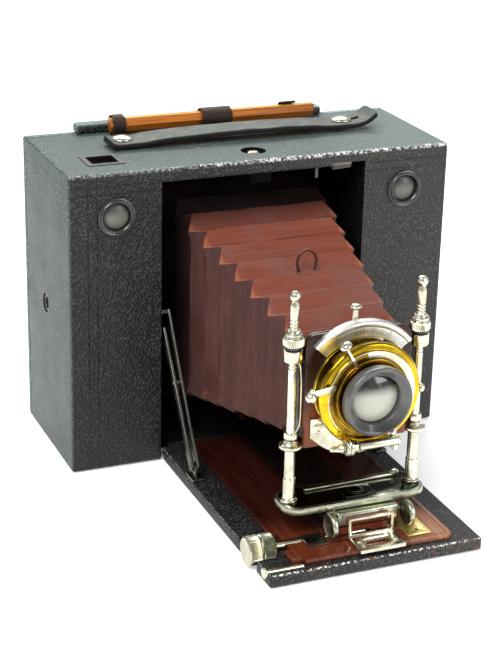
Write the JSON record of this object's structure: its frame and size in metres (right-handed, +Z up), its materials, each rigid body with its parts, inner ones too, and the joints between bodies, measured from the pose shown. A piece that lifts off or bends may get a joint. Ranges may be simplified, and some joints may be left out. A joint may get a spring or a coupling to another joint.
{
  "type": "folding view camera",
  "caption": "Folding bellows camera standing open: leather box, red bellows, brass shutter on a nickel-post front, mahogany bed and focusing rack.",
  "frame": {"origin": "middle of the wooden body's rest face, on the surface it stands on", "axes": "+X to the right seen from in front, +Y from the lens to the removable back, +Z up. The lens looks along -Y."},
  "size_m": [0.222, 0.2427, 0.1807],
  "materials": {
    "leather_cover": "grained leather over board",
    "black_wood": "matt black stained",
    "ruby_glass": "dark red, polished",
    "spool_wood": "plain turned",
    "nickel": "worn nickel plate",
    "black_metal": "black enamel, worn",
    "dark_steel": "dark plated, worn",
    "glass": "polished",
    "strap_leather": "worn strap leather",
    "brown_leather": "worn",
    "pencil_paint": "gloss lacquer",
    "brass": "polished, lacquered",
    "mahogany": "polished",
    "red_leather": "dusty, creased"
  },
  "bodies": {
    "body": {"top_board": "leather_cover", "bottom_board": "leather_cover", "left_wall": "leather_cover", "right_wall": "leather_cover", "front_panel_left": "leather_cover", "front_panel_right": "leather_cover", "inner_frame": "black_wood", "finder_bezel_left": "black_metal", "finder_bezel_right": "black_metal", "finder_lens_left": "glass", "finder_lens_right": "glass", "finder_window_top": "glass", "finder_window_side": "glass", "handle_strap": "strap_leather", "handle_stud_left": "nickel", "handle_stud_right": "nickel", "pencil_holder": "brown_leather", "tripod_bush_side": "black_metal", "tripod_bush_base": "brass", "bed_board": "leather_cover", "bed_panel": "mahogany", "hinge_rod": "nickel", "strut_left": "nickel", "strut_right": "nickel", "striker_plate": "nickel", "pinion_cover": "brass", "bellows": "red_leather"},
    "back": {"back_panel": "leather_cover", "ruby_window": "ruby_glass"},
    "feed": {"feed_spool": "spool_wood"},
    "takeup": {"takeup_spool": "spool_wood", "wind_key": "nickel"},
    "pencil": {"pencil": "pencil_paint"},
    "button": {"door_button": "nickel"},
    "latch": {"door_latch": "nickel"},
    "support_rod": {"support_rod": "nickel"},
    "pinion": {"pinion_shaft": "nickel", "focus_knob": "nickel"},
    "track": {"focus_track": "dark_steel"},
    "carriage": {"carriage_block": "nickel"},
    "grip_left": {"pinch_grip_left": "nickel"},
    "grip_right": {"pinch_grip_right": "nickel"},
    "shift": {"shift_plate": "nickel", "post_left": "nickel", "post_right": "nickel"},
    "shift_lever": {"shift_lever": "nickel"},
    "lens": {"lens_frame": "nickel", "lens_board": "mahogany", "shutter_plate": "nickel", "shutter_housing": "brass", "valve_nozzle": "nickel", "lens_barrel": "black_metal", "front_glass": "glass", "rear_glass": "glass"},
    "nut_left": {"clamp_nut_left": "nickel"},
    "nut_right": {"clamp_nut_right": "nickel"},
    "catch": {"board_catch": "nickel"},
    "speed": {"speed_lever": "nickel"},
    "iris": {"iris_lever": "nickel"},
    "release": {"release_lever": "nickel"}
  },
  "joints": [
    {"name": "focus_slide", "type": "slide", "parent": "body", "child": "track", "axis": [0, 1, 0], "range_m": [-0.004, 0.004], "deforming": ["bellows"]},
    {"name": "pinion_spin", "type": "hinge", "parent": "body", "child": "pinion", "pos_m": [0, -0.1725, 0.0082], "axis": [1, 0, 0], "range_deg": [-80, 80]},
    {"name": "front_slide", "type": "slide", "parent": "track", "child": "carriage", "axis": [0, 1, 0], "range_m": [0, 0.14], "deforming": ["bellows"]},
    {"name": "grip_left_press", "type": "slide", "parent": "carriage", "child": "grip_left", "axis": [1, 0, 0], "range_m": [0, 0.0012], "stiffness_N_per_m": 1500, "springref_m": -0.001},
    {"name": "grip_right_press", "type": "slide", "parent": "carriage", "child": "grip_right", "axis": [-1, 0, 0], "range_m": [0, 0.0012], "stiffness_N_per_m": 1500, "springref_m": -0.001},
    {"name": "front_shift", "type": "slide", "parent": "carriage", "child": "shift", "axis": [1, 0, 0], "range_m": [-0.008, 0.008], "deforming": ["bellows"]},
    {"name": "shift_lever_turn", "type": "hinge", "parent": "shift", "child": "shift_lever", "pos_m": [0.029, -0.1535, 0.028], "axis": [0, 0, 1], "range_deg": [-12, 0]},
    {"name": "front_rise", "type": "slide", "parent": "shift", "child": "lens", "axis": [0, 0, 1], "range_m": [0, 0.015], "deforming": ["bellows"]},
    {"name": "clamp_nut_left_turn", "type": "hinge", "parent": "lens", "child": "nut_left", "pos_m": [-0.0343, -0.1625, 0.114], "axis": [0, 0, 1], "range_deg": [-90, 90]},
    {"name": "clamp_nut_right_turn", "type": "hinge", "parent": "lens", "child": "nut_right", "pos_m": [0.0343, -0.1625, 0.114], "axis": [0, 0, 1], "range_deg": [-90, 90]},
    {"name": "board_catch_pull", "type": "slide", "parent": "lens", "child": "catch", "axis": [0, 0, 1], "range_m": [0, 0.003], "stiffness_N_per_m": 300, "springref_m": -0.002},
    {"name": "speed_lever_turn", "type": "hinge", "parent": "lens", "child": "speed", "pos_m": [0, -0.182, 0.087], "axis": [0, 1, 0], "range_deg": [-15, 60]},
    {"name": "iris_lever_turn", "type": "hinge", "parent": "lens", "child": "iris", "pos_m": [0, -0.1715, 0.087], "axis": [0, 1, 0], "range_deg": [-28, 30]},
    {"name": "release_press", "type": "hinge", "parent": "lens", "child": "release", "pos_m": [-0.0212, -0.1812, 0.0942], "axis": [0, 1, 0], "range_deg": [-12, 0], "stiffness_Nm_per_rad": 0.05, "springref_deg": 5.73},
    {"name": "door_button_press", "type": "slide", "parent": "body", "child": "button", "axis": [0, 0, -1], "range_m": [0, 0.002], "stiffness_N_per_m": 800, "springref_m": -0.001},
    {"name": "door_latch_slide", "type": "slide", "parent": "body", "child": "latch", "axis": [0, 1, 0], "range_m": [0, 0.0016]},
    {"name": "back_pull", "type": "slide", "parent": "body", "child": "back", "axis": [0, 1, 0], "range_m": [0, 0.03]},
    {"name": "takeup_turn", "type": "hinge", "parent": "body", "child": "takeup", "pos_m": [0.083, 0.0065, 0.08], "axis": [0, 0, 1], "continuous": true},
    {"name": "feed_turn", "type": "hinge", "parent": "body", "child": "feed", "pos_m": [-0.083, 0.0065, 0.08], "axis": [0, 0, 1], "continuous": true},
    {"name": "pencil_pull", "type": "slide", "parent": "body", "child": "pencil", "axis": [-1, 0, 0], "range_m": [0, 0.06]},
    {"name": "support_rod_pull", "type": "slide", "parent": "body", "child": "support_rod", "axis": [-1, 0, 0], "range_m": [0, 0.015]}
  ],
  "couplings": [
    {"joint": "pinion_spin", "follows": "focus_slide", "rad_per_m": -333.33},
    {"joint": "door_latch_slide", "follows": "door_button_press", "ratio": 0.8}
  ]
}
